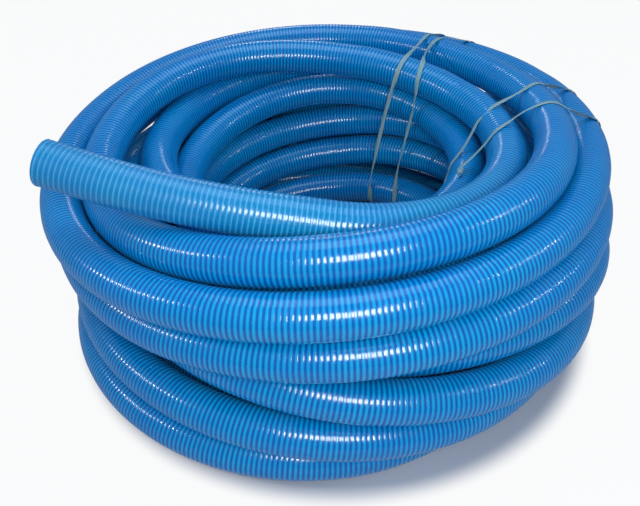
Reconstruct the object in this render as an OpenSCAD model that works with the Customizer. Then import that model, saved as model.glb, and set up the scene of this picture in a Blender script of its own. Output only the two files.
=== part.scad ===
// A coil of spiral-reinforced suction and vacuum hose, laid up by hand in one
// unbroken strand and tied at the side with thin flat twine. One end lies free
// across the top of the coil. Millimetres, Z up, the coil standing on Z = 0,
// its front toward -Y.

/* [Hose] */
// Outside diameter over the ribs
hose_od = 58; // [50:0.5:62]
// Wall from the bore to the top of a rib
hose_wall = 4; // [3.4:0.1:6]
// How far a rib stands above the groove beside it
rib_rise = 1.2; // [0.6:0.1:1.6]
// Distance from one turn of the hidden helix to the next
rib_pitch = 6.4; // [5.5:0.1:9]

/* [Free end] */
// Straight hose at the mouth
mouth_l = 58; // [40:1:80]
// Bend radius of the stretch that lies across the top
end_bend_r = 1180; // [400:10:1600]
// How far that stretch turns
end_bend_deg = 11; // [5:1:30]
// Roll of the bend out of level, upward
end_roll_deg = 22; // [0:1:40]

/* [Ties] */
// Width of the twine
tie_w = 9; // [4:0.5:12]
// Thickness of the twine
tie_t = 1.2; // [0.8:0.1:2]
// Length of a knot along the tie
knot_l = 16; // [10:1:25]
// Width of a knot
knot_w = 14; // [10:1:20]
// How far a knot stands out
knot_t = 7; // [4:0.5:10]

/* [Fits] */
// Gap between a tie and the hose it binds
tie_gap = 0.3; // [0.2:0.05:0.6]
// Share of the hose's diameter that is cut flat where it lies on the floor
rest_share = 0.1; // [0.05:0.01:0.12]

/* [Hidden] */

hose_r = hose_od / 2;
// The coil's axis, a little off the middle of its footprint
coil_axis = [-13, -11, 0];
rest_cut = hose_od * rest_share;

// The strand's lay. Each row is one turn, from the front round to the right,
// the back and the left, with a station every 60 degrees: how far the hose's
// centre line lies from the coil's axis, and how high its underside is.
stations = 6;
lay_radius = [
  [290, 295, 235, 225, 315, 355],
  [365, 345, 320, 380, 380, 415],
  [405, 380, 415, 435, 405, 395],
  [405, 410, 405, 400, 375, 330],
  [400, 430, 395, 395, 400, 385],
  [410, 390, 370, 375, 385, 410],
  [400, 325, 315, 315, 315, 310],
  [295, 280, 275, 285, 290, 295],
  [320, 435, 425, 360, 310, 280],
  [285, 320, 345, 340, 330, 325],
  [330, 325, 305, 320, 295, 245],
  [220, 215, 240, 270, 240, 220],
  [225, 260, 290, 275, 245, 235],
  [260, 285, 295, 255, 230, 215],
  [220, 230, 230, 220, 230, 225],
  [215, 215, 220, 220]];
lay_height = [
  [305, 285, 310, 330, 335, 245],
  [325, 325, 320, 325, 300, 235],
  [270, 285, 300, 305, 230, 175],
  [205, 235, 230, 190, 165, 155],
  [135,  70,  70,  75,  80,  80],
  [ 65,  25,  10,  20,  20,  15],
  [  0,   0,   0,   0,   0,   5],
  [ 20,  35,  45,  50,  60,  95],
  [150, 160, 135, 135, 155, 175],
  [190, 180, 190, 205, 215, 215],
  [235, 245, 255, 300, 255, 240],
  [235, 230, 245, 275, 215, 185],
  [170, 185, 215, 185, 155, 125],
  [120, 130, 150, 125,  95,  70],
  [ 70,  90,  90,  60,  35,  15],
  [  0,   0,   0,   0]];
// The station before the first, where the free end comes in over the top
lead_radius = 285;
lead_height = 380;
// Turns wound, and rings of the tube in a turn
turns = 15.25;
loop_rings = 24;
loop_sides = 6;

radii = [lead_radius, for (row = lay_radius) each row];
heights = [lead_height, for (row = lay_height) each row];

// Where the ties go round the bundle, in degrees from the front toward the right
tie_at = [148, 136, 96, 82];
// The knots sit outside and low, at these heights of the tie's outline
knot_height = [150, 120, 150, 115];
// Arc on each side of a tie where the coil is propped off the floor by it
prop_deg = 16;

// Cubic B-spline weights between two stations
function weights(t) = [pow(1 - t, 3), 3*t*t*t - 6*t*t + 4, 1 + 3*t + 3*t*t - 3*t*t*t, t*t*t] / 6;
function along(list, turn) =
  let (s = turn * stations, i = min(floor(s + 1e-9), len(list) - 4))
  weights(s - i) * [list[i], list[i + 1], list[i + 2], list[i + 3]];

function apart_deg(a, b) = abs((a - b + 900) % 360 - 180);
function propped(deg) = min([for (a = tie_at) apart_deg(deg, a)]) < prop_deg;
// Height of the centre line: the twine under the coil lifts it a little, and
// elsewhere the lowest turn is sunk by the depth that is cut flat
function centre_z(height, deg) =
  hose_r + height + (propped(deg) ? tie_t + tie_gap : -rest_cut * max(0, 1 - height / hose_od));
function laid(turn) =
  let (r = along(radii, turn), h = along(heights, turn), a = 360 * turn)
  [r * sin(a), -r * cos(a), centre_z(h, a)];

function unit(v) = v / norm(v);
function heading(turn) = unit(laid(turn + 0.001) - laid(turn - 0.001));
lay_last = turns * loop_rings;
start_p = laid(0);
start_d = unit(laid(0.004) - start_p);
// Both ends run straight for one diameter
coil_path = [
  start_p,
  start_p + hose_od * start_d,
  for (i = [2 : lay_last - 2]) laid(i / loop_rings),
  laid(turns) - hose_od * heading(turns - 0.002),
  laid(turns)];

// Rings of a swept tube: the first corner points level and away from the axis
function path_dir(path, i) =
  unit(path[min(i + 1, len(path) - 1)] - path[max(i - 1, 0)]);
function side_dir(d) = unit([d[1], -d[0], 0]);
function ring(centre, d, radius, sides) =
  let (across = side_dir(d), up = cross(across, d))
  [for (k = [0 : sides - 1])
    centre + radius * (cos(360 * k / sides) * across + sin(360 * k / sides) * up)];
function on_floor(p) = [p[0], p[1], max(p[2], 0)];

// Triangles between rings of a tube, then its two flat ends
function tube_faces(rings, sides) = [
  for (i = [0 : rings - 2], k = [0 : sides - 1])
    let (a = i * sides + k, b = i * sides + (k + 1) % sides)
    each [[a, b, a + sides], [b, b + sides, a + sides]],
  for (k = [1 : sides - 2]) each [
    [0, k + 1, k],
    [(rings - 1) * sides, (rings - 1) * sides + k, (rings - 1) * sides + k + 1]]];

module hose_coil() {
  color("royalblue")
  translate(coil_axis)
  polyhedron(
    points = [for (i = [0 : len(coil_path) - 1])
      each [for (p = ring(coil_path[i], path_dir(coil_path, i), hose_r, loop_sides)) on_floor(p)]],
    faces = tube_faces(len(coil_path), loop_sides),
    convexity = 40);
}

// Least gap between any two turns, on the runs from ring to ring
function to_run(p, a, b) =
  let (ab = b - a, t = max(0, min(1, (p - a) * ab / (ab * ab))))
  norm(p - a - t * ab);
self_gap = min([
  for (i = [0 : len(coil_path) - 1], j = [i + loop_rings / 2 : len(coil_path) - 2])
    to_run(coil_path[i], coil_path[j], coil_path[j + 1])]) - hose_od;
echo(least_gap_of_coil_to_itself = self_gap);

// The free stretch: straight for one diameter, one even bend, straight mouth
end_d = -start_d;
bend_side = cos(end_roll_deg) * side_dir(end_d) + sin(end_roll_deg) * cross(side_dir(end_d), end_d);
bend_l = end_bend_r * end_bend_deg * PI / 180;
swept_l = hose_od + bend_l;
function end_turn(s) = max(0, min(end_bend_deg, (s - hose_od) / end_bend_r * 180 / PI));
function end_dir(s) = cos(end_turn(s)) * end_d + sin(end_turn(s)) * bend_side;
function end_point(s) =
  start_p + min(s, hose_od) * end_d
  + end_bend_r * (sin(end_turn(s)) * end_d + (1 - cos(end_turn(s))) * bend_side);
groove_r = hose_r - rib_rise;
bore_r = hose_r - hose_wall;
end_sides = 8;
// Corners of an eight-sided lining whose section has the round bore's area
lining_r = bore_r * sqrt(PI / (2 * sqrt(2)));
end_ribs = round(swept_l / rib_pitch);
mouth_ribs = round(mouth_l / rib_pitch);
lining_steps = 12;
mouth_fuse = 1;

module swept_end() {
  outer = [for (i = [0 : 2 * end_ribs])
    let (s = swept_l * i / (2 * end_ribs))
    ring(end_point(s), end_dir(s), i % 2 == 0 ? groove_r : hose_r, end_sides)];
  inner = [for (i = [0 : lining_steps])
    let (s = swept_l * i / lining_steps)
    ring(end_point(s), end_dir(s), lining_r, end_sides)];
  rings_out = len(outer);
  n = end_sides;
  first_in = rings_out * n;
  last_out = (rings_out - 1) * n;
  last_in = first_in + lining_steps * n;
  polyhedron(
    points = [for (r = outer) each r, for (r = inner) each r],
    faces = [
      for (i = [0 : rings_out - 2], k = [0 : n - 1])
        let (a = i * n + k, b = i * n + (k + 1) % n)
        each [[a, b, a + n], [b, b + n, a + n]],
      for (i = [0 : lining_steps - 1], k = [0 : n - 1])
        let (a = first_in + i * n + k, b = first_in + i * n + (k + 1) % n)
        each [[a, a + n, b], [b, a + n, b + n]],
      for (k = [0 : n - 1])
        let (m = (k + 1) % n)
        each [
          [k, first_in + k, m], [m, first_in + k, first_in + m],
          [last_out + k, last_out + m, last_in + k], [last_out + m, last_in + m, last_in + k]]],
    convexity = 20);
}

// The mouth is straight, and its true round bore is cut last
module at_mouth() {
  tip_d = end_dir(swept_l);
  translate(end_point(swept_l))
  rotate([0, acos(tip_d[2]), atan2(tip_d[1], tip_d[0])])
  children();
}
module mouth() {
  at_mouth()
  rotate_extrude($fn = 96)
  polygon([
    [bore_r - mouth_fuse, -mouth_fuse],
    [groove_r, -mouth_fuse],
    for (i = [0 : 2 * mouth_ribs])
      [i % 2 == 0 ? groove_r : hose_r, mouth_l * i / (2 * mouth_ribs)],
    [bore_r - mouth_fuse, mouth_l]]);
}
module mouth_bore() {
  at_mouth()
  translate([0, 0, -2 * mouth_fuse])
  cylinder(r = bore_r, h = mouth_l + 3 * mouth_fuse, $fn = 96);
}

module hose_free_end() {
  color("deepskyblue")
  translate(coil_axis)
  difference() {
    union() {
      swept_end();
      mouth();
    }
    mouth_bore();
  }
}

// The bundle where a tie crosses it: each turn's centre in the tie's own plane,
// and the radius of the slanted cut through the hose there
function crossing(deg, k) =
  let (i = floor((k + deg / 360) * loop_rings), a = coil_path[i], b = coil_path[i + 1],
       out = [sin(deg), -cos(deg), 0], along_coil = [cos(deg), sin(deg), 0],
       t = (a * along_coil) / ((a - b) * along_coil), p = a + t * (b - a))
  [p * out, p[2], hose_r / abs(unit(b - a) * along_coil)];
function bundle(deg) = [for (k = [0 : floor(turns - deg / 360)]) crossing(deg, k)];

// Reaches past the outermost turn, and keeps the ties above the floor
above_floor = 2 * (max(radii) + hose_od);
module bundle_outline(deg, grow) {
  intersection() {
    hull() for (c = bundle(deg)) translate([c[0], c[1]]) circle(r = c[2] + grow, $fn = 48);
    square(above_floor);
  }
}

// Stands a drawing of radius and height up at an angle round the coil
module at_angle(deg, width) {
  translate(coil_axis)
  rotate([0, 0, deg - 90]) rotate([90, 0, 0])
  linear_extrude(width, center = true) children();
}

module tie(i) {
  color("darkseagreen")
  at_angle(tie_at[i], tie_w)
  difference() {
    bundle_outline(tie_at[i], tie_gap + tie_t);
    bundle_outline(tie_at[i], tie_gap);
  }
}

module knot(i) {
  color("seagreen")
  at_angle(tie_at[i], knot_w)
  intersection() {
    difference() {
      bundle_outline(tie_at[i], tie_gap + tie_t + knot_t);
      bundle_outline(tie_at[i], tie_gap + tie_t);
    }
    translate([lead_radius, knot_height[i]]) square([hose_od * 4, knot_l]);
  }
}

module tie_1() { tie(0); }
module tie_2() { tie(1); }
module tie_3() { tie(2); }
module tie_4() { tie(3); }
module knot_1() { knot(0); }
module knot_2() { knot(1); }
module knot_3() { knot(2); }
module knot_4() { knot(3); }

hose_coil();
hose_free_end();
tie_1();
tie_2();
tie_3();
tie_4();
knot_1();
knot_2();
knot_3();
knot_4();
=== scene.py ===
from math import cos, pi, radians, sin

import bmesh
import bpy
import numpy as np
from mathutils import Matrix, Vector


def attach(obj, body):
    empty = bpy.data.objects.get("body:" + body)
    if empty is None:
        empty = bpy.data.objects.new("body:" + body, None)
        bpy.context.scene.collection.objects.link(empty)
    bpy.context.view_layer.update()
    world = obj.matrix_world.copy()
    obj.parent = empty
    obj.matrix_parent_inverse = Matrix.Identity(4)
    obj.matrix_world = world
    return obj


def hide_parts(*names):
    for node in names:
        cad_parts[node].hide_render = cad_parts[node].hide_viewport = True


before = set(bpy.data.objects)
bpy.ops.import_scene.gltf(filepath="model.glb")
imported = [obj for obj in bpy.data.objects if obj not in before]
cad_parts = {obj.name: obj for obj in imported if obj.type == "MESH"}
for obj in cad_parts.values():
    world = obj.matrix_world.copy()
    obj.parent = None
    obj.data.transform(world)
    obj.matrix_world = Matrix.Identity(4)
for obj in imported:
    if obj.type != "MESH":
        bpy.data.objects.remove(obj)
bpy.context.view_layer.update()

print("frame loaded:", len(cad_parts), "nodes")

mm = 0.001
weldWithin, cutWithin = 2e-6, 1e-7  # metres
scene = bpy.context.scene

camera = {
    "axis": (-0.013, -0.011),  # the coil's own axis
    "back": 0.9373,  # in front of that axis
    "height": 0.7731,
    "pitch": 35.22,  # degrees below level
    "yaw": 0.69,  # degrees toward the left
    "roll": -0.28,
    "lens": 36.68,
    "sensor": 36,
    "shift": (0.0008, -0.0175),
    "clip": (0.05, 60),
}


def makeCamera(c):
    data = bpy.data.cameras.new("camera")
    data.lens = c["lens"]
    data.sensor_width = c["sensor"]
    data.shift_x, data.shift_y = c["shift"]
    data.clip_start, data.clip_end = c["clip"]
    cam = bpy.data.objects.new("camera", data)
    scene.collection.objects.link(cam)
    turn = (
        Matrix.Rotation(radians(c["yaw"]), 4, "Z")
        @ Matrix.Rotation(radians(90 - c["pitch"]), 4, "X")
        @ Matrix.Rotation(radians(c["roll"]), 4, "Z")
    )
    place = Matrix.Translation((c["axis"][0], c["axis"][1] - c["back"], c["height"]))
    cam.matrix_world = place @ turn
    scene.camera = cam


makeCamera(camera)
scene.view_settings.view_transform = "Standard"
print("camera placed")

# the hose is one strand, and its route is in millimetres
hose = {
    "radius": 29,  # over the ribs
    "bore": 25,
    "ribRise": 0.6,
    "ribPitch": 6.4,
    "sides": 24,
    "openEnd": 352,  # the first piece; the coil is meshed in four more, end to end
    "lengths": 4,
    "tailBore": 300,  # how deep the inner end is seen to be hollow
    "liningStep": 12,
    "spareRibs": 2,  # meshed past either end of a piece, then cut off
    "rimReach": 1.2,  # times the radius, round the centre of a cut
}
lay = {
    "axis": (-13, -11),
    "turns": 15.25,
    "stations": 6,  # a turn
    "lineSteps": 720,  # a turn
    "lookAhead": 0.001,  # turns, to find which way the hose runs
    "leadRadius": 285,
    "leadHeight": 380,
    # one row a turn, from the front round by the right, a station every 60 degrees
    "radius": [
        [290, 295, 235, 225, 315, 355],
        [365, 345, 320, 380, 380, 415],
        [405, 380, 415, 435, 405, 395],
        [405, 410, 405, 400, 375, 330],
        [400, 430, 395, 395, 400, 385],
        [410, 390, 370, 375, 385, 410],
        [400, 325, 315, 315, 315, 310],
        [295, 280, 275, 285, 290, 295],
        [320, 435, 425, 360, 310, 280],
        [285, 320, 345, 340, 330, 325],
        [330, 325, 305, 320, 295, 245],
        [220, 215, 240, 270, 240, 220],
        [225, 260, 290, 275, 245, 235],
        [260, 285, 295, 255, 230, 215],
        [220, 230, 230, 220, 230, 225],
        [215, 215, 220, 220],
    ],
    # of the hose's underside
    "height": [
        [305, 285, 310, 330, 335, 245],
        [325, 325, 320, 325, 300, 235],
        [270, 285, 300, 305, 230, 175],
        [205, 235, 230, 190, 165, 155],
        [135, 70, 70, 75, 80, 80],
        [65, 25, 10, 20, 20, 15],
        [0, 0, 0, 0, 0, 5],
        [20, 35, 45, 50, 60, 95],
        [150, 160, 135, 135, 155, 175],
        [190, 180, 190, 205, 215, 215],
        [235, 245, 255, 300, 255, 240],
        [235, 230, 245, 275, 215, 185],
        [170, 185, 215, 185, 155, 125],
        [120, 130, 150, 125, 95, 70],
        [70, 90, 90, 60, 35, 15],
        [0, 0, 0, 0],
    ],
    "propArc": (12, 26),  # the twine under the coil lifts it over this arc, degrees
    "propLift": 1.5,
}
freeEnd = {
    "straight": 58,
    "bendRadius": 1180,
    "bendDeg": 11,  # outward and up
    "rollDeg": 22,
    "steps": 400,
    "lookAhead": 0.004,  # turns
}
tie = {"at": [148, 136, 96, 82], "gap": 0.3, "thick": 1.2, "width": 9}  # degrees from the front

radii = np.array([lay["leadRadius"], *sum(lay["radius"], [])], float)
heights = np.array([lay["leadHeight"], *sum(lay["height"], [])], float)


def smoothStep(x):
    x = np.clip(x, 0, 1)
    return x * x * (3 - 2 * x)


def along(values, turn):  # cubic B-spline between the stations
    s = np.asarray(turn, float) * lay["stations"]
    i = np.clip(np.floor(s + 1e-9).astype(int), 0, len(values) - 4)
    t = s - i
    weights = ((1 - t) ** 3, 3 * t**3 - 6 * t**2 + 4, 1 + 3 * t + 3 * t**2 - 3 * t**3, t**3)
    return sum(w * values[i + k] for k, w in enumerate(weights)) / 6


def laid(turn):  # the centre line at a number of turns from the front
    turn = np.asarray(turn, float)
    deg = (turn * 360) % 360
    apart = np.min([np.abs((deg - a + 180) % 360 - 180) for a in tie["at"]], axis=0)
    near, far = lay["propArc"]
    lift = lay["propLift"] * smoothStep((far - apart) / (far - near))
    r = along(radii, turn)
    z = along(heights, turn) + hose["radius"] + lift
    a = np.radians(deg)
    return np.stack([lay["axis"][0] + r * np.sin(a), lay["axis"][1] - r * np.cos(a), z], -1)


def unit(v):
    return v / np.linalg.norm(v, axis=-1, keepdims=True)


def freeRoute():  # from where the coil begins out to the mouth
    start = laid(0)
    d = -unit(laid(freeEnd["lookAhead"]) - start)
    side = unit(np.array([d[1], -d[0], 0]))
    roll, most = radians(freeEnd["rollDeg"]), radians(freeEnd["bendDeg"])
    bend = cos(roll) * side + sin(roll) * np.cross(side, d)
    straight, r = freeEnd["straight"], freeEnd["bendRadius"]
    arc = r * most
    s = np.linspace(0, 2 * straight + arc, freeEnd["steps"])[:, None]
    phi = np.clip((s - straight) / r, 0, most)
    tip = np.cos(phi) * d + np.sin(phi) * bend
    return (
        start
        + np.minimum(s, straight) * d
        + r * (np.sin(phi) * d + (1 - np.cos(phi)) * bend)
        + np.maximum(s - straight - arc, 0) * tip
    )


class Route:  # a centre line read by the distance along it
    reach = 3  # its heading is taken from this far before to this far after

    def __init__(self, points):
        self.points = points
        steps = np.linalg.norm(np.diff(points, axis=0), axis=1)
        self.distance = np.concatenate([[0], np.cumsum(steps)])
        self.length = self.distance[-1]

    def read(self, s):
        return np.stack([np.interp(s, self.distance, self.points[:, k]) for k in range(3)], -1)

    def heading(self, s):
        s = np.clip(np.asarray(s, float), self.reach, self.length - self.reach)
        return unit(self.read(s + self.reach) - self.read(s - self.reach))

    def at(self, s):  # runs on straight past either end
        s = np.asarray(s, float)
        inside = np.clip(s, 0, self.length)
        return self.read(inside) + (s - inside)[..., None] * self.heading(inside)

    def frames(self, s):  # centre, then level and outward, then up, then ahead
        p, d = self.at(s), self.heading(s)
        side = unit(np.stack([d[..., 1], -d[..., 0], np.zeros(d.shape[:-1])], -1))
        return p, side, np.cross(side, d), d


coilLine = laid(np.arange(int(lay["turns"] * lay["lineSteps"]) + 1) / lay["lineSteps"])
freeLine = freeRoute()[::-1]
strand = Route(np.concatenate([freeLine[:-1], coilLine]))
joinAt = Route(freeLine).length
print("strand: %.2f m, of which %.3f m lies free" % (strand.length * mm, joinAt * mm))

# the ribbed tube is a flat grid wrapped round the route, so that its rib is one helix
ribPhases = np.array([0, 7 / 24, 17 / 24])  # the groove, then both edges of the rib's crown
perRib = len(ribPhases)


def linkPiece(name, mesh, *nodes):
    obj = bpy.data.objects.new(name, mesh)
    scene.collection.objects.link(obj)
    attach(obj, "root")
    if nodes:
        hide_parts(*nodes)
    return obj


def flatGrid(name, columns, rows):  # and each corner's column and row
    bm = bmesh.new()
    bm.loops.layers.uv.new("surface")
    bmesh.ops.create_grid(bm, x_segments=columns, y_segments=rows, size=0.5, calc_uvs=True)
    mesh = bpy.data.meshes.new(name)
    bm.to_mesh(mesh)
    bm.free()
    spots = np.empty(len(mesh.vertices) * 3)
    mesh.vertices.foreach_get("co", spots)
    spots = spots.reshape(-1, 3) + 0.5
    column = np.rint(spots[:, 0] * columns).astype(int)
    return mesh, column, np.rint(spots[:, 1] * rows).astype(int)


def setUv(mesh, change):  # change takes both coordinates of every loop, from 0 to 1
    uv = mesh.uv_layers["surface"].data
    spots = np.empty(len(uv) * 2)
    uv.foreach_get("uv", spots)
    spots = spots.reshape(-1, 2)
    uv.foreach_set("uv", np.stack(change(spots[:, 0], spots[:, 1]), -1).ravel())


def wrappedTube(name, firstRib, ribs):
    sides, pitch = hose["sides"], hose["ribPitch"]
    mesh, column, row = flatGrid(name, ribs * perRib, sides)
    turn = row / sides
    rib = firstRib + column // perRib + ribPhases[column % perRib]
    p, side, up, d = strand.frames((rib + turn) * pitch)
    inGroove = column % perRib == 0
    r = np.where(inGroove, hose["radius"] - hose["ribRise"], hose["radius"])[:, None]
    angle = (2 * pi * turn)[:, None]
    places = p + r * (np.cos(angle) * side + np.sin(angle) * up)
    mesh.vertices.foreach_set("co", (places * mm).ravel())
    ring = mesh.attributes.new("ring", "INT", "POINT")
    ring.data.foreach_set("value", column)

    def byRib(u, v):
        step = np.rint(u * ribs * perRib).astype(int)
        return firstRib + step // perRib + ribPhases[step % perRib], v

    setUv(mesh, byRib)
    return mesh


def cutSquare(bm, s, rings, keepAfter):  # a clean cut, square to the hose
    layer = bm.verts.layers.int["ring"]
    verts = [v for v in bm.verts if v[layer] in rings]
    faces = dict.fromkeys(f for v in verts for f in v.link_faces)  # each once, always in one order
    edges = dict.fromkeys(e for f in faces for e in f.edges)
    corners = dict.fromkeys(v for f in faces for v in f.verts)
    d = strand.heading(s)
    centre = Vector(strand.at(s) * mm)
    bmesh.ops.bisect_plane(
        bm,
        geom=[*corners, *edges, *faces],
        dist=cutWithin,
        plane_co=centre,
        plane_no=Vector(-d if keepAfter else d),
        clear_outer=True,
    )
    reach = hose["rimReach"] * hose["radius"] * mm
    rim = [e for e in bm.edges if e.is_boundary and (e.verts[0].co - centre).length < reach]
    for e in rim:
        e.smooth = False
    return rim


def liningFrom(bm, rim, s, depth):  # the cut wall, then the smooth bore
    steps = round(abs(depth) / hose["liningStep"])
    for k in range(steps + 1):
        grown = bmesh.ops.extrude_edge_only(bm, edges=rim)["geom"]
        corners = {g for g in grown if isinstance(g, bmesh.types.BMVert)}
        rim = [
            g for g in grown
            if isinstance(g, bmesh.types.BMEdge) and corners.issuperset(g.verts)
        ]
        p, side, up, d = strand.frames(s + depth * k / steps)
        for v in corners:
            out = np.array(v.co) / mm - p
            out -= out.dot(d) * d
            v.co = Vector((p + unit(out) * hose["bore"]) * mm)
        if k == 0:
            for e in rim:
                e.smooth = False
    return rim


def hoseLength(name, fromS, toS, openAt=None, depth=0):
    pitch, spare = hose["ribPitch"], hose["spareRibs"]
    firstRib = int(np.floor(fromS / pitch)) - spare
    ribs = int(np.ceil(toS / pitch)) + spare - firstRib
    mesh = wrappedTube(name, firstRib, ribs)
    bm = bmesh.new()
    bm.from_mesh(mesh)
    bmesh.ops.remove_doubles(bm, verts=bm.verts, dist=weldWithin)
    for f in bm.faces:
        f.smooth = True
    rings, near = ribs * perRib, 2 * spare * perRib
    rims = {
        fromS: cutSquare(bm, fromS, range(near), True),
        toS: cutSquare(bm, toS, range(rings - near, rings + 1), False),
    }
    if openAt is not None:
        last = liningFrom(bm, rims.pop(openAt), openAt, depth)
        if abs(depth) >= toS - fromS:  # bored right through
            bmesh.ops.bridge_loops(bm, edges=last + rims.popitem()[1])
            for e in last:
                e.smooth = False
    bmesh.ops.holes_fill(bm, edges=[e for e in bm.edges if e.is_boundary], sides=0)
    bmesh.ops.recalc_face_normals(bm, faces=bm.faces)
    bm.verts.layers.int.remove(bm.verts.layers.int["ring"])
    bm.to_mesh(mesh)
    bm.free()
    return mesh


def declareLength(fromS, toS):
    path = strand.at(np.arange(fromS, toS, hose["ribPitch"])) * mm
    path = [tuple(p) for p in path] + [tuple(strand.at(toS) * mm)]


# finishes
white = (1, 1, 1, 1)
noiseSpan = (0.3, 0.7)  # nearly all of a noise lies between these


def rgb(*levels):  # written as it shows on screen, 0 to 255
    shares = [v / 255 for v in levels]
    linear = [v / 12.92 if v < 0.04045 else ((v + 0.055) / 1.055) ** 2.4 for v in shares]
    return (*linear, 1)


def newGroup(name, inputs, outputs):
    group = bpy.data.node_groups.new(name, "ShaderNodeTree")
    for label, kind, value in inputs:
        socket = group.interface.new_socket(name=label, in_out="INPUT", socket_type=kind)
        if value is not None:
            socket.default_value = value
    for label in outputs:
        group.interface.new_socket(name=label, in_out="OUTPUT", socket_type="NodeSocketFloat")
    return group, group.nodes.new("NodeGroupInput").outputs, group.nodes.new("NodeGroupOutput").inputs


def addNode(tree, kind, links=(), **settings):  # links: (input, value or output)
    node = tree.nodes.new(kind)
    for key, value in settings.items():
        setattr(node, key, value)
    for socket, value in links:
        if isinstance(value, bpy.types.NodeSocket):
            tree.links.new(value, node.inputs[socket])
        else:
            node.inputs[socket].default_value = value
    return node


def maths(tree, operation, *values):
    return addNode(tree, "ShaderNodeMath", enumerate(values), operation=operation).outputs[0]


def mixColour(tree, factor, a, b):
    links = [(0, factor), (6, a), (7, b)]  # a mix node's colours are its inputs 6 and 7
    return addNode(tree, "ShaderNodeMix", links, data_type="RGBA").outputs[2]


def noise(tree, vector, scale, detail, rough):
    links = [("Vector", vector), ("Scale", scale), ("Detail", detail), ("Roughness", rough)]
    return addNode(tree, "ShaderNodeTexNoise", links).outputs["Fac"]


def remap(tree, value, low, high, toLow=0.0, toHigh=1.0):
    links = [("Value", value), ("From Min", low), ("From Max", high)]
    links += [("To Min", toLow), ("To Max", toHigh)]
    return addNode(
        tree, "ShaderNodeMapRange", links, interpolation_type="SMOOTHSTEP"
    ).outputs["Result"]


def makeRibGroup():  # the rigid helix under the skin, seen as a darker line in each groove
    inputs = [
        ("Along", "NodeSocketFloat", 0.0),
        ("Width", "NodeSocketFloat", 0.4),
        ("Softness", "NodeSocketFloat", 0.15),
    ]
    group, start, end = newGroup("ribLines", inputs, ["Line"])
    phase = maths(group, "FRACT", start["Along"])
    fromCrown = maths(group, "ABSOLUTE", maths(group, "SUBTRACT", phase, 0.5))
    half = maths(group, "SUBTRACT", 0.5, maths(group, "MULTIPLY", start["Width"], 0.5))
    low = maths(group, "SUBTRACT", half, start["Softness"])
    high = maths(group, "ADD", half, start["Softness"])
    group.links.new(remap(group, fromCrown, low, high), end["Line"])
    return group


dustMarks = {
    "patchDetail": 5.0,
    "patchRough": 0.6,
    "patchSpan": (0.42, 0.7),
    "levelSpan": (0.2, 1.0),  # how far a face looks up, from where dust first stays on it
    "scuffNoise": (420.0, 2.0, 0.5),  # of a noise: scale, detail, roughness
    "scuffSpan": (0.62, 0.74),
}


def makeDustGroup(m):  # dust and handling marks, by place on the object
    inputs = [
        ("Place", "NodeSocketVector", None),
        ("Scale", "NodeSocketFloat", 30.0),
        ("Amount", "NodeSocketFloat", 0.5),
    ]
    group, start, end = newGroup("dustAndScuffs", inputs, ["Dust", "Scuff"])
    patches = noise(group, start["Place"], start["Scale"], m["patchDetail"], m["patchRough"])
    up = addNode(group, "ShaderNodeNewGeometry").outputs["Normal"]
    level = addNode(group, "ShaderNodeSeparateXYZ", [("Vector", up)]).outputs["Z"]
    facing = remap(group, level, *m["levelSpan"])
    settled = maths(group, "MULTIPLY", remap(group, patches, *m["patchSpan"]), facing)
    fine = noise(group, start["Place"], *m["scuffNoise"])
    scuffed = remap(group, fine, *m["scuffSpan"])
    group.links.new(maths(group, "MULTIPLY", settled, start["Amount"]), end["Dust"])
    group.links.new(maths(group, "MULTIPLY", scuffed, start["Amount"]), end["Scuff"])
    return group


ribGroup, dustGroup = makeRibGroup(), makeDustGroup(dustMarks)


def useGroup(tree, group, links):
    return addNode(tree, "ShaderNodeGroup", links, node_tree=group).outputs


def ribLine(tree, ribs, width, softness):
    return useGroup(tree, ribGroup, [("Along", ribs), ("Width", width), ("Softness", softness)])["Line"]


def marksOn(tree, place, f):
    links = [("Place", place), ("Scale", f["dustScale"]), ("Amount", f["dustAmount"])]
    return useGroup(tree, dustGroup, links)


def newMaterial(name):
    material = bpy.data.materials.new(name)
    material.use_nodes = True
    return material, material.node_tree, material.node_tree.nodes["Principled BSDF"]


def whereOn(tree):  # along and round the piece, and the place on the object
    uv = addNode(tree, "ShaderNodeUVMap", uv_map="surface").outputs["UV"]
    return uv, addNode(tree, "ShaderNodeTexCoord").outputs["Object"]


def roughen(tree, skin, height, strength, depth):
    links = [("Height", height), ("Strength", strength), ("Distance", depth)]
    bump = addNode(tree, "ShaderNodeBump", links)
    tree.links.new(bump.outputs["Normal"], skin.inputs["Normal"])


hoseFinish = {
    "band": rgb(8, 158, 204),
    "line": rgb(0, 92, 164),
    "lineWidth": 0.5,  # of a rib
    "endGround": rgb(4, 128, 174),  # toward the open end, where light gets inside
    "endLine": rgb(72, 166, 206),
    "endLineWidth": 0.3,
    "endUntil": 80.0,  # ribs
    "endFade": 50.0,
    "softness": 0.12,
    "deep": rgb(0, 88, 176),  # in soft clouds
    "cloudNoise": (9.0, 4.0, 0.6),
    "cloudShare": 0.25,
    # on faces that look up: dust, and its pale blue is also painted sheen of the sky on the hose's tops
    "dust": rgb(96, 160, 214),
    "dustScale": 26.0,
    "dustAmount": 0.5,
    "dustShare": 0.14,
    "roughNoise": (160.0, 3.0, 0.6),
    "roughness": (0.11, 0.23),
    "scuffed": 0.25,  # rougher by this
    "handled": (0.26, 0.02),  # rougher by this at the mouth, and past the handled ribs
    "handledRibs": 60.0,
    "grainNoise": (900.0, 2.0, 0.5),
    "grain": (0.12, 0.0006),  # strength, and depth in metres
    "shader": {
        "IOR": 1.5,
        "Coat Weight": 0.3,
        "Coat Roughness": 0.1,
        "Sheen Weight": 0.15,
        "Sheen Roughness": 0.45,
        "Sheen Tint": rgb(60, 170, 250),
    },
}


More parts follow.
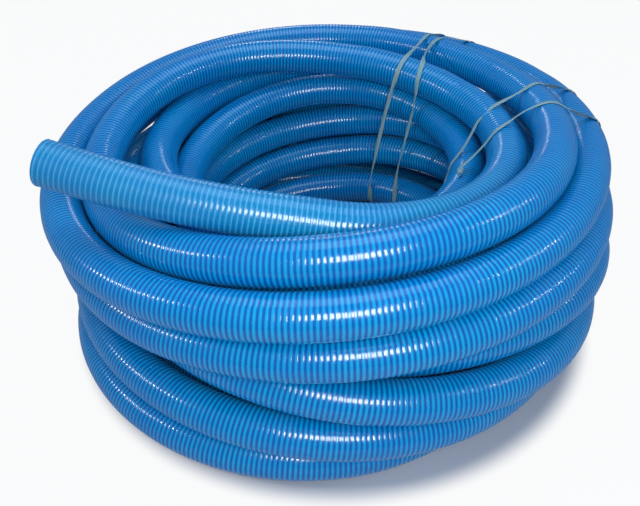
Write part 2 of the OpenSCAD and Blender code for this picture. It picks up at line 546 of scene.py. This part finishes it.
def makeHoseFinish(f):
    material, tree, skin = newMaterial("hoseVinyl")
    uv, place = whereOn(tree)
    ribs = addNode(tree, "ShaderNodeSeparateXYZ", [("Vector", uv)]).outputs["X"]
    groove = ribLine(tree, ribs, f["lineWidth"], f["softness"])
    crest = ribLine(tree, maths(tree, "ADD", ribs, 0.5), f["endLineWidth"], f["softness"])
    pastEnd = remap(tree, ribs, f["endUntil"], f["endUntil"] + f["endFade"])
    wound = mixColour(tree, groove, f["band"], f["line"])
    opened = mixColour(tree, crest, f["endGround"], f["endLine"])
    colour = mixColour(tree, maths(tree, "SUBTRACT", 1.0, pastEnd), wound, opened)
    clouds = noise(tree, place, *f["cloudNoise"])
    cloud = remap(tree, clouds, *noiseSpan, 0.0, f["cloudShare"])
    shaded = mixColour(tree, cloud, colour, f["deep"])
    marks = marksOn(tree, place, f)
    # pale blue on the upward faces: dust in patches, and painted sky sheen on the tops
    dustShare = maths(tree, "MULTIPLY", marks["Dust"], f["dustShare"])
    tree.links.new(mixColour(tree, dustShare, shaded, f["dust"]), skin.inputs["Base Color"])
    rough = remap(tree, noise(tree, place, *f["roughNoise"]), *noiseSpan, *f["roughness"])
    scuffed = maths(tree, "ADD", rough, maths(tree, "MULTIPLY", marks["Scuff"], f["scuffed"]))
    handled = remap(tree, ribs, 0.0, f["handledRibs"], *f["handled"])
    tree.links.new(maths(tree, "ADD", scuffed, handled), skin.inputs["Roughness"])
    for name, value in f["shader"].items():
        skin.inputs[name].default_value = value
    roughen(tree, skin, noise(tree, place, *f["grainNoise"]), *f["grain"])
    return material


twineFinish = {
    "fibre": rgb(158, 184, 176),
    "shade": rgb(104, 140, 146),
    "shadeSpan": (0.3, 0.62),
    "glint": rgb(232, 238, 232),
    "glintSpan": (0.6, 0.75),
    "glintShare": 0.6,
    "fibreScale": (30.0, 90.0, 1.0),  # along and across, so the fibres run lengthwise
    "fibreNoise": (1.0, 4.0, 0.6),
    "dust": rgb(150, 150, 140),
    "dustScale": 60.0,
    "dustAmount": 0.6,
    "dustShare": 0.5,
    "roughness": (0.6, 0.35),
    "grain": (0.5, 0.0004),
}


def makeTwineFinish(f):
    material, tree, skin = newMaterial("flatTwine")
    uv, place = whereOn(tree)
    drawn = addNode(tree, "ShaderNodeMapping", [("Vector", uv), ("Scale", f["fibreScale"])])
    fibres = noise(tree, drawn.outputs["Vector"], *f["fibreNoise"])
    colour = mixColour(tree, remap(tree, fibres, *f["shadeSpan"]), f["shade"], f["fibre"])
    shining = remap(tree, fibres, *f["glintSpan"], 0.0, f["glintShare"])
    lit = mixColour(tree, shining, colour, f["glint"])
    dustShare = maths(tree, "MULTIPLY", marksOn(tree, place, f)["Dust"], f["dustShare"])
    tree.links.new(mixColour(tree, dustShare, lit, f["dust"]), skin.inputs["Base Color"])
    rough = remap(tree, fibres, *noiseSpan, *f["roughness"])
    tree.links.new(rough, skin.inputs["Roughness"])
    roughen(tree, skin, fibres, *f["grain"])
    return material


hoseVinyl, flatTwine = makeHoseFinish(hoseFinish), makeTwineFinish(twineFinish)
print("finishes made")

# the hose's pieces, end to end
freeMesh = hoseLength("hose_open_end", 0, hose["openEnd"], openAt=0, depth=hose["openEnd"])
cuts = np.linspace(hose["openEnd"], strand.length, hose["lengths"] + 1)
cuts[1:-1] = np.rint(cuts[1:-1] / hose["ribPitch"]) * hose["ribPitch"]
free = linkPiece("hose_open_end", freeMesh, "hose_free_end")
free.data.materials.append(hoseVinyl)
declareLength(0, hose["openEnd"])
for k in range(hose["lengths"]):
    name = "hose_length_%d" % (k + 1)
    fromS, toS = float(cuts[k]), float(cuts[k + 1])
    last = k == hose["lengths"] - 1
    mesh = hoseLength(name, fromS, toS, openAt=toS if last else None, depth=-hose["tailBore"])
    piece = linkPiece(name, mesh, "hose_coil")
    piece.data.materials.append(hoseVinyl)
    declareLength(fromS, toS)
    print(name, "%.2f m" % ((toS - fromS) * mm), len(mesh.polygons), "faces")

# flat twine drawn round the bundle in four places
twine = {
    "steps": 720,
    "facings": 1440,  # directions in which the bundle is felt for its outside
    "bands": 5,  # degrees between the sections that are worked out
    "sides": 16,
    "corner": 0.8,  # of a section: 1 is an ellipse, less is squarer
    "thinned": 0.8,
    "fold": 0.5,  # a lengthwise fold
    "twistDeg": 75,  # where it spans free from hose to hose
    "narrowest": 0.55,
    # how many round the bundle, how much further on at the next tie, and their share
    "twistWaves": [(3, 0.21, 0.6), (7, 0.37, 0.4)],
    "narrowWaves": [(5, 0.3, 1.0)],
    "freeTurn": 0.004,  # it spans free where it turns less than this a step
    "freeSmooth": 25,  # steps
    "leanSmooth": 31,
    "floorFade": (6, 20),  # it lies flat below the first height, and free this far above
    # how far round the bundle, from its outside up and over, and the angle there
    "lean": [
        [
            (0.0, 148), (0.12, 147), (0.18, 145), (0.24, 142),
            (0.33, 148), (0.46, 154), (0.64, 151), (0.82, 148),
        ],
        [
            (0.0, 138), (0.13, 143), (0.19, 139), (0.24, 131),
            (0.3, 132), (0.43, 138), (0.7, 137), (0.8, 136),
        ],
        [
            (0.05, 99), (0.17, 104), (0.25, 100), (0.33, 93), (0.38, 85),
            (0.42, 81), (0.5, 82), (0.75, 92), (0.95, 96),
        ],
        [
            (0.14, 91), (0.2, 86), (0.27, 86), (0.31, 79), (0.35, 72),
            (0.42, 66), (0.5, 66), (0.75, 76), (0.95, 82),
        ],
    ],
}


def outline(deg, grow):  # the bundle's hull at an angle: radius, height and facing, and its length
    a = radians(deg)
    facing = np.linspace(0, 2 * pi, twine["facings"], endpoint=False)
    k = np.arange(int(np.floor(lay["turns"] - deg / 360)) + 1) + deg / 360
    centre = laid(k)
    onward = unit(laid(k + lay["lookAhead"]) - laid(k - lay["lookAhead"]))
    r = (centre[:, 0] - lay["axis"][0]) * sin(a) - (centre[:, 1] - lay["axis"][1]) * cos(a)
    reach = hose["radius"] / np.abs(onward[:, 0] * cos(a) + onward[:, 1] * sin(a)) + grow
    n = np.stack([np.cos(facing), np.sin(facing)], -1)
    best = np.argmax(n[:, :1] * r + n[:, 1:] * centre[:, 2] + reach, axis=1)
    flat = np.stack([r[best], centre[best, 2]], -1) + reach[best][:, None] * n
    flat[:, 1] = np.maximum(flat[:, 1], tie["thick"] / 2)
    closed, n = np.concatenate([flat, flat[:1]]), np.concatenate([n, n[:1]])
    far = np.concatenate([[0], np.cumsum(np.linalg.norm(np.diff(closed, axis=0), axis=1))])
    s = np.linspace(0, far[-1], twine["steps"] + 1)
    spread = [np.interp(s, far, v) for v in (*closed.T, *n.T)]
    return np.stack(spread, -1), far[-1]


def roundLoop(values, width):  # a moving average round a closed loop
    loop = np.concatenate([values[:-1]] * 3)
    kept = np.convolve(loop, np.ones(width) / width, "same")[len(values) - 1 : 2 * len(values) - 1]
    return np.append(kept[: len(values) - 1], kept[0])


def tiePath(index):  # centre, facing, forward, how free the twine is there, and its length
    deg = tie["at"][index]
    f = np.linspace(0, 1, twine["steps"] + 1)
    at, angle = zip(*twine["lean"][index])
    angle = roundLoop(np.interp(f, at, angle, period=1), twine["leanSmooth"])
    step = twine["bands"]
    low = step * int(np.floor(angle.min() / step))
    grow = tie["gap"] + tie["thick"] / 2
    bands = np.stack([outline(d, grow)[0] for d in range(low, int(angle.max()) + 2 * step, step)])
    place = (angle - low) / step
    row = place.astype(int)
    share = (place - row)[:, None]
    column = np.arange(len(f))
    r, z, outward, upward = ((1 - share) * bands[row, column] + share * bands[row + 1, column]).T
    a = np.radians(angle)
    radial = np.stack([np.sin(a), -np.cos(a), 0 * a], -1)
    up = np.array([0, 0, 1])
    centre = np.array([*lay["axis"], 0]) + r[:, None] * radial + z[:, None] * up
    facing = unit(outward[:, None] * radial + upward[:, None] * up)
    forward = unit(np.roll(centre[:-1], -1, 0) - np.roll(centre[:-1], 1, 0))
    forward = np.concatenate([forward, forward[:1]])
    facing = unit(facing - np.sum(facing * forward, 1)[:, None] * forward)
    turning = np.linalg.norm(np.diff(facing, axis=0), axis=1)
    spans = (np.append(turning, turning[0]) < twine["freeTurn"]).astype(float)
    flatBelow, fade = twine["floorFade"]
    clear = np.clip((centre[:, 2] - flatBelow) / fade, 0, 1)
    free = roundLoop(spans, twine["freeSmooth"]) ** 3 * clear
    return centre, facing, forward, free, outline(deg, grow)[1]


def sweep(name, centre, across, outward, section, length, closed):
    sideways, proud = section
    steps, sides = len(centre) - 1, len(sideways[0]) - 1
    mesh, column, row = flatGrid(name, steps, sides)
    places = centre[column] + sideways[column, row][:, None] * across[column]
    places = places + proud[column, row][:, None] * outward[column]
    mesh.vertices.foreach_set("co", (places * mm).ravel())
    setUv(mesh, lambda u, v: (u * length * mm, v))
    bm = bmesh.new()
    bm.from_mesh(mesh)
    bmesh.ops.remove_doubles(bm, verts=bm.verts, dist=weldWithin)
    if not closed:
        bmesh.ops.holes_fill(bm, edges=[e for e in bm.edges if e.is_boundary], sides=0)
    bmesh.ops.recalc_face_normals(bm, faces=bm.faces)
    for f in bm.faces:
        f.smooth = True
    bm.to_mesh(mesh)
    bm.free()
    return mesh


def stripSection(width, thick, fold, sides):  # rounded flat strip, with a fold along it
    t = 2 * pi * np.arange(sides + 1) / sides
    width, fold = np.asarray(width)[:, None], np.asarray(fold)[:, None]
    sideways = np.sign(np.cos(t)) * np.abs(np.cos(t)) ** twine["corner"] * width / 2
    proud = np.sign(np.sin(t)) * np.abs(np.sin(t)) ** twine["corner"] * thick / 2
    return sideways, proud + fold * (1 - (2 * sideways / width) ** 2 * 2)


def ripple(f, index, waves):
    return sum(share * np.sin(2 * pi * (count * f + on * index)) for count, on, share in waves)


def makeTie(index):
    centre, facing, forward, free, length = tiePath(index)
    f = np.linspace(0, 1, len(centre))
    twist = radians(twine["twistDeg"]) * ripple(f, index, twine["twistWaves"]) * free
    across = np.cross(forward, facing)
    turned = np.cos(twist)[:, None] * facing + np.sin(twist)[:, None] * across
    sideways = np.cross(forward, turned)
    drawnIn = 0.5 + 0.5 * ripple(f, index, twine["narrowWaves"])
    width = tie["width"] * (1 - (1 - twine["narrowest"]) * free * drawnIn)
    thick, fold = tie["thick"] * twine["thinned"], twine["fold"] * free
    section = stripSection(width, thick, fold, twine["sides"])
    name = "twine_%d" % (index + 1)
    mesh = sweep(name, centre, sideways, turned, section, length, True)
    piece = linkPiece(name, mesh, "tie_%d" % (index + 1))
    piece.data.materials.append(flatTwine)
    return centre, facing, forward


knot = {
    "height": [150, 120, 150, 115],
    "long": 16,
    "wide": 14,
    "out": 7,
    "cord": (3.4, 2.2),  # the bunched twine, wide and thick
    "sides": 10,
    "steps": 72,
    "open": 0.12,  # radians left open at either end of the loop
    "spread": (2.7, 3),  # what the loop measures before it is scaled
    "outerFrom": 0.72,  # how far round the bundle its outside begins
    "tail": 26,
    "tailSteps": 24,
    "tailAside": 7,
    "tailCurl": (2, 5),
    "tailOut": 12,
    "tailDrop": 1.4,  # it falls ever more steeply
    "tailFray": 0.5,  # wider at its tip
}


def knotStrand(name, points, size, ends):  # a bunched length of twine through points
    ahead = unit(np.gradient(points, axis=0))
    askew = np.array([0.3, 0.2, 1.0])
    outward = unit(np.cross(ahead, np.cross(askew, ahead)))
    across = np.cross(ahead, outward)
    section = stripSection(size[0] * ends, size[1], 0 * ends, knot["sides"])
    length = np.linalg.norm(np.diff(points, axis=0), axis=1).sum()
    return sweep(name, points, across, outward, section, length, False)


def makeKnot(index, centre, facing, forward):  # an overhand knot with two tails
    middle = knot["height"][index] + knot["long"] / 2
    outer = np.arange(len(centre))[int(knot["outerFrom"] * len(centre)) :]
    at = outer[np.argmin(np.abs(centre[outer, 2] - middle))]
    out, ahead = facing[at], forward[at]
    side = np.cross(ahead, out)
    base = centre[at] + (tie["thick"] / 2 + knot["out"] / 2) * out
    wide, thick = knot["cord"]
    spreadX, spreadY = knot["spread"]
    t = np.linspace(knot["open"], 2 * pi - knot["open"], knot["steps"] + 1)
    x = (np.sin(t) + 2 * np.sin(2 * t)) / spreadX * (knot["wide"] - wide) / 2
    y = (np.cos(t) - 2 * np.cos(2 * t)) / spreadY * (knot["long"] - wide) / 2
    z = -np.sin(3 * t) * (knot["out"] - thick) / 2
    loop = base + x[:, None] * side + y[:, None] * ahead + z[:, None] * out
    parts = [(loop, np.ones(len(loop)))]
    s = np.linspace(0, 1, knot["tailSteps"] + 1)[:, None]
    curl, bends = knot["tailCurl"]
    down = np.array([0, 0, -1.0]) * knot["tail"] * s ** knot["tailDrop"]
    for sign, start in ((1, loop[-1]), (-1, loop[0])):
        aside = sign * (knot["tailAside"] * s + curl * np.sin(bends * s)) * side
        bulge = (1 - s) * s * knot["tailOut"] * out
        parts.append((start + (aside + bulge) + down, 1.0 + knot["tailFray"] * s[:, 0]))
    bm = bmesh.new()
    name = "twine_knot_%d" % (index + 1)
    for points, ends in parts:
        piece = knotStrand(name, points, knot["cord"], ends)
        bm.from_mesh(piece)
        bpy.data.meshes.remove(piece)
    mesh = bpy.data.meshes.new(name)
    bm.to_mesh(mesh)
    bm.free()
    piece = linkPiece(name, mesh, "knot_%d" % (index + 1))
    piece.data.materials.append(flatTwine)


for index in range(len(tie["at"])):
    makeKnot(index, *makeTie(index))
print("ties and knots done")

light = {
    "aim": (0, 0, 0.2),
    "sky": (0.35, 0.6, 1.0),
    "skyStrength": 0.5,
    "mirrorShare": 0.02,
    "daylight": (0.5, 0.78, 1.0),
    "overhead": (0.0, 0.3, 2.6, 1.6, 20),  # place, size, watts
    "front": (0.12, -1.1, 0.88, 0.35, 7.5),
    "left": (-2.3, -0.7, 1.5, 0.12, 9),
    "right": (2.3, -0.5, 1.7, 0.12, 5),
    "back": (-0.3, 3.0, 1.8, 0.4, 4),
}


def areaLight(name, setting, colour=(1, 1, 1)):
    x, y, z, size, watts = setting
    data = bpy.data.lights.new(name, "AREA")
    data.size, data.energy, data.color = size, watts, colour
    lamp = bpy.data.objects.new(name, data)
    lamp.visible_camera = False
    scene.collection.objects.link(lamp)
    lamp.location = (x, y, z)
    lamp.rotation_euler = (Vector(light["aim"]) - lamp.location).to_track_quat("-Z", "Y").to_euler()


areaLight("overhead", light["overhead"], light["daylight"])
for name in ("front", "left", "right", "back"):
    areaLight(name, light[name])


def seenDirectly(tree):  # by the camera, or in gloss and glass
    path = addNode(tree, "ShaderNodeLightPath").outputs
    mirrored = maths(tree, "MAXIMUM", path["Is Glossy Ray"], path["Is Transmission Ray"])
    some = maths(tree, "MULTIPLY", mirrored, light["mirrorShare"])
    return maths(tree, "MAXIMUM", path["Is Camera Ray"], some)


def mixInto(tree, output, share, first, second):
    both = addNode(tree, "ShaderNodeMixShader", [(0, share), (1, first), (2, second)])
    tree.links.new(both.outputs[0], tree.nodes[output].inputs["Surface"])


def makeSky():
    world = bpy.data.worlds.new("studio")
    scene.world = world
    world.use_nodes = True
    tree = world.node_tree
    soft = tree.nodes["Background"]
    soft.inputs["Color"].default_value = (*light["sky"], 1)
    soft.inputs["Strength"].default_value = light["skyStrength"]
    backdrop = addNode(tree, "ShaderNodeBackground", [("Color", white), ("Strength", 1.0)])
    mixInto(tree, "World Output", seenDirectly(tree), soft.outputs[0], backdrop.outputs[0])


stage = {
    "size": 6.0,
    "colour": (0.45, 0.47, 0.5, 1),
    "roughness": 0.7,
    "white": 0.94,  # how much of it shows as plain backdrop
    "shadeInside": (0.42, 0.46),  # but not this near the coil
}


def makeFloor():
    bm = bmesh.new()
    bmesh.ops.create_grid(bm, x_segments=1, y_segments=1, size=stage["size"])
    mesh = bpy.data.meshes.new("floor")
    bm.to_mesh(mesh)
    bm.free()
    floor = bpy.data.objects.new("floor", mesh)
    scene.collection.objects.link(floor)
    material, tree, plain = newMaterial("paleFloor")
    plain.inputs["Base Color"].default_value = stage["colour"]
    plain.inputs["Roughness"].default_value = stage["roughness"]
    glow = addNode(tree, "ShaderNodeEmission", [("Color", white), ("Strength", 1.0)])
    place = addNode(tree, "ShaderNodeTexCoord").outputs["Object"]
    reach = addNode(tree, "ShaderNodeVectorMath", [(0, place)], operation="LENGTH").outputs["Value"]
    outside = remap(tree, reach, *stage["shadeInside"], 0.0, stage["white"])
    share = maths(tree, "MULTIPLY", seenDirectly(tree), outside)
    mixInto(tree, "Material Output", share, plain.outputs[0], glow.outputs[0])
    mesh.materials.append(material)


makeSky()
makeFloor()
print("floor and light done")
